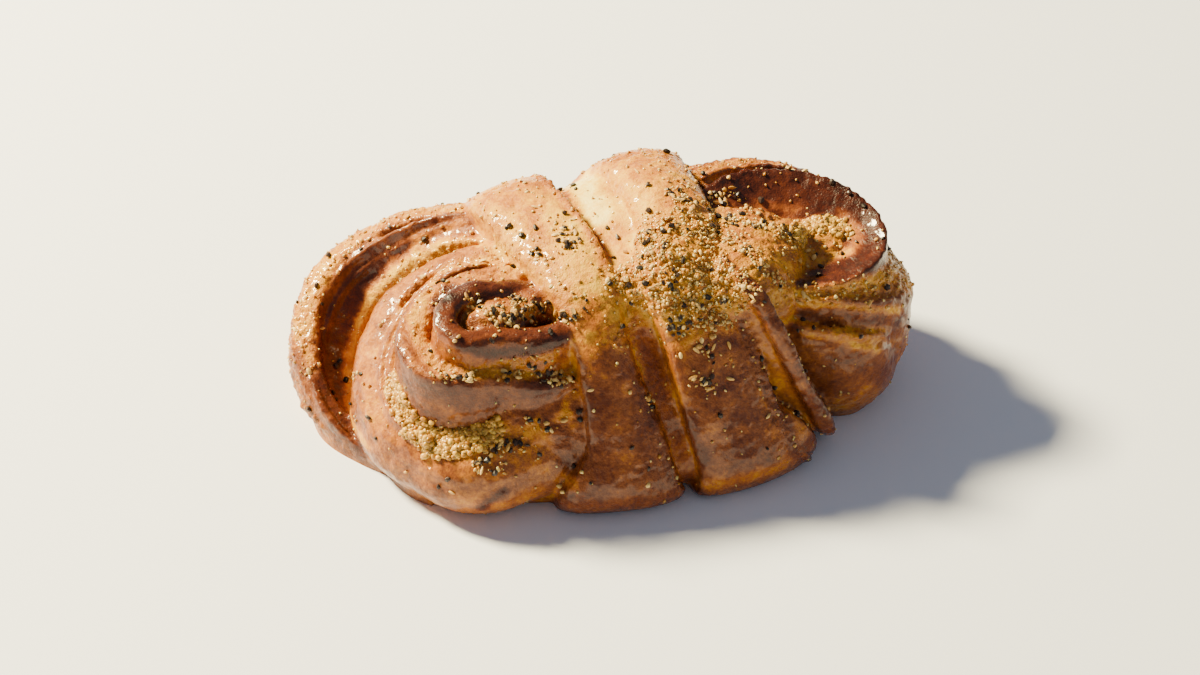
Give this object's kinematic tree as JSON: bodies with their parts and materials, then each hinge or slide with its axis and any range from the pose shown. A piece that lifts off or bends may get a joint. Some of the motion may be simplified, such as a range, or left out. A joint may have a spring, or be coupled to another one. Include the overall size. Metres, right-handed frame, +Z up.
{
  "type": "cardamom bun",
  "caption": "Oval braided sweet bun: a dough strip coiled into a swirl at each end and wrapped over the middle in folds, with an egg-washed crust and coarse spice and sugar topping.",
  "frame": {"origin": "centre of the bounding box in plan, on the flat base the bun was baked on", "axes": "+Z up from the base, +X along the bun towards the swirl with the dark raised rim, -Y towards the side with the two broad front folds"},
  "size_m": [0.123, 0.076, 0.0478],
  "materials": {
    "crust": "baked egg-washed bread crust, satin to glossy on the ridges and dull in the creases"
  },
  "bodies": {
    "root": {"bun": "crust"}
  },
  "joints": []
}
